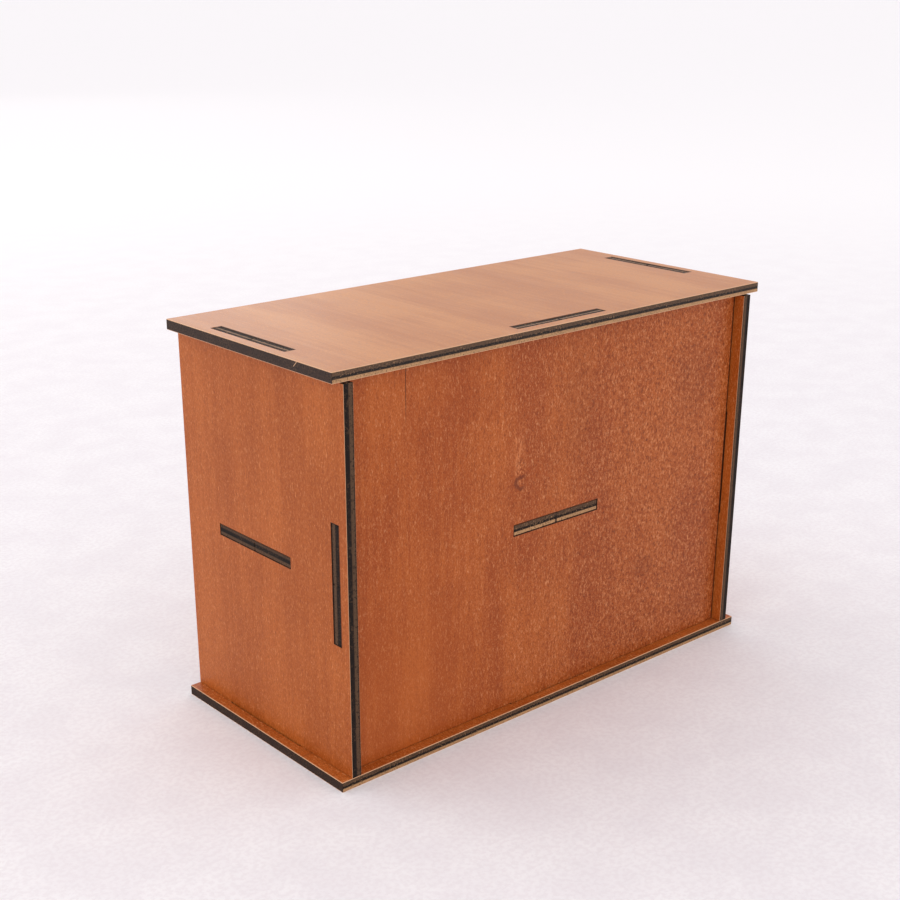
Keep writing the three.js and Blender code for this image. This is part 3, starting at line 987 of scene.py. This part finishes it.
def screw_core():
    quarter = oval(head_radius, HEAD_HEIGHT, 0.0, 90.0, DOME_EDGE, DOME_STEPS)
    dome = [(radius, HEAD_HEIGHT - height) for radius, height in quarter]
    return spun(in_mm([
        *dome,
        (head_radius - HEAD_RIM, HEAD_HEIGHT),
        (THREAD_CORE + NECK_FLARE, HEAD_HEIGHT),
        (THREAD_CORE, HEAD_HEIGHT + NECK_LENGTH),
        (THREAD_CORE, screw_length - SCREW_TIP),
        (0.0, screw_length),
    ]), Y, screw_pole, -1)


print("screw:", round(screw_length, 2), "mm long, head", round(head_radius * 2, 2), "mm across")

# %% [markdown]
# ## Its recess and its thread
# The cross recess could be cut with a boolean, but those leave slivers in a shape this small. Instead the
# dome is cut along straight lines, and what lies inside the cross is lowered. The thread is a thin ridge,
# spun about the shank while it moves along it.

# %% Screw: recess, thread and finish
def cut_recess(skin):
    """Cuts the dome along both arms of a cross, and lowers what lies inside it."""
    for axis in (X, Z):
        direction = Vector([1.0 if index == axis else 0.0 for index in range(3)])
        for offset in (*RECESS_OUT, *RECESS_HALF):
            for sign in (-1, 1):
                under_head = screw_pole.y - HEAD_HEIGHT * MM
                dome = [face for face in skin.faces if face.calc_center_median().y > under_head]
                cut_face(skin, dome, screw_pole + direction * (sign * offset * MM), direction)
    reach = (RECESS_OUT[1] + CUT_SLACK) * MM
    half = (RECESS_HALF[1] + CUT_SLACK) * MM
    for vert in skin.verts:
        x = abs(vert.co.x - screw_pole.x)
        z = abs(vert.co.z - screw_pole.z)
        in_arm = (x < half and z < reach) or (z < half and x < reach)
        if in_arm and vert.co.y > screw_pole.y - HEAD_HEIGHT * 0.9 * MM:
            vert.co.y = screw_pole.y - RECESS_DEPTH * MM


def wind_thread(skin):
    """A three-sided ridge that winds from just under the head to near the tip."""
    start = HEAD_HEIGHT + THREAD_GAP
    turns = (screw_length - SCREW_TIP - start) / THREAD_PITCH
    steps = int(turns * THREAD_STEPS)
    foot = screw_pole + Vector((0, -start * MM, 0))
    outline = [(THREAD_ROOT, -THREAD_HALF), (THREAD_RADIUS, 0.0), (THREAD_ROOT, THREAD_HALF)]
    verts = [skin.verts.new(foot + Vector((0, -h * MM, r * MM))) for r, h in outline]
    edges = [skin.edges.new((verts[i], verts[(i + 1) % 3])) for i in range(3)]
    done = bmesh.ops.spin(
        skin, geom=verts + edges, cent=foot, axis=(0, -1, 0), steps=steps,
        angle=2 * math.pi * steps / THREAD_STEPS, dvec=(0, -THREAD_PITCH / THREAD_STEPS * MM, 0),
    )
    skin.faces.new(verts)
    skin.faces.new([part for part in done["geom_last"] if isinstance(part, bmesh.types.BMVert)])


def screw_finish():
    finish = Finish("screw_zinc", metallic=1.0)
    spangle = finish.noise((1.2, 1.2, 1.2), detail=4.0, roughness=0.6, shift=31.0)
    scuffs = finish.noise((6.0, 1.0, 6.0), detail=2.0, shift=32.0)
    tint = finish.mix(finish.step(spangle, 0.35, 0.65), srgb(188, 190, 192), srgb(206, 203, 194))
    finish.feed("Base Color", finish.mix(finish.step(scuffs, 0.60, 0.75) * 0.5, tint, srgb(120, 116, 110)))
    finish.feed("Roughness", scuffs * 0.35 + 0.18)
    finish.feed("Normal", finish.bump(scuffs, 0.02 * MM, strength=0.4))
    return finish.material


screw_skin = screw_core()
cut_recess(screw_skin)
wind_thread(screw_skin)
bmesh.ops.recalc_face_normals(screw_skin, faces=screw_skin.faces)
screw = finish_piece(
    "knob_screw_fine", screw_skin, "drawer", "drawer_knob_screw", screw_finish()
)
print("screw:", len(screw.data.polygons), "faces")

# %% [markdown]
# ## The flap's pins
# Two short lengths of hard brass wire, cut and deburred, pressed into the flap and free to turn in the
# plates. Wire is drawn through a die, which leaves faint lines along it, and handled brass tarnishes in
# patches. A cylinder would be right but for its ends, so an outline with chamfers is spun instead.

# %% Pins
PIN_CHAMFER = 0.12


def pin_finish():
    finish = Finish("pin_brass", metallic=1.0)
    drawn = finish.noise((0.08, 9.0, 9.0), detail=2.0, shift=41.0)
    tarnish = finish.noise((0.35, 0.8, 0.8), detail=4.0, roughness=0.6, shift=42.0)
    brass = finish.mix(finish.step(tarnish, 0.42, 0.66), srgb(222, 184, 108), srgb(168, 122, 62))
    finish.feed("Base Color", finish.mix(finish.step(drawn, 0.55, 0.75) * 0.4, brass, srgb(128, 92, 46)))
    finish.feed("Roughness", tarnish * 0.3 + drawn * 0.15 + 0.12)
    finish.feed("Normal", finish.bump(drawn, 0.01 * MM, strength=0.5))
    return finish.material


def make_pin(node, material):
    low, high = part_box(node)
    length = (high.x - low.x) / MM
    radius = (high.z - low.z) / 2 / MM
    outline = in_mm([
        (0.0, 0.0),
        (radius - PIN_CHAMFER, 0.0),
        (radius - PIN_CHAMFER * 0.3, PIN_CHAMFER * 0.3),
        (radius, PIN_CHAMFER),
        (radius, length - PIN_CHAMFER),
        (radius - PIN_CHAMFER * 0.3, length - PIN_CHAMFER * 0.3),
        (radius - PIN_CHAMFER, length),
        (0.0, length),
    ])
    foot = Vector((low.x, (low.y + high.y) / 2, (low.z + high.z) / 2))
    return finish_piece(node + "_wire", spun(outline, X, foot, 1), "flap", node, material)


brass = pin_finish()
pins = [make_pin(node, brass) for node in ("flap_left_pin", "flap_right_pin")]
print("pins:", [(pin.name, len(pin.data.polygons)) for pin in pins])
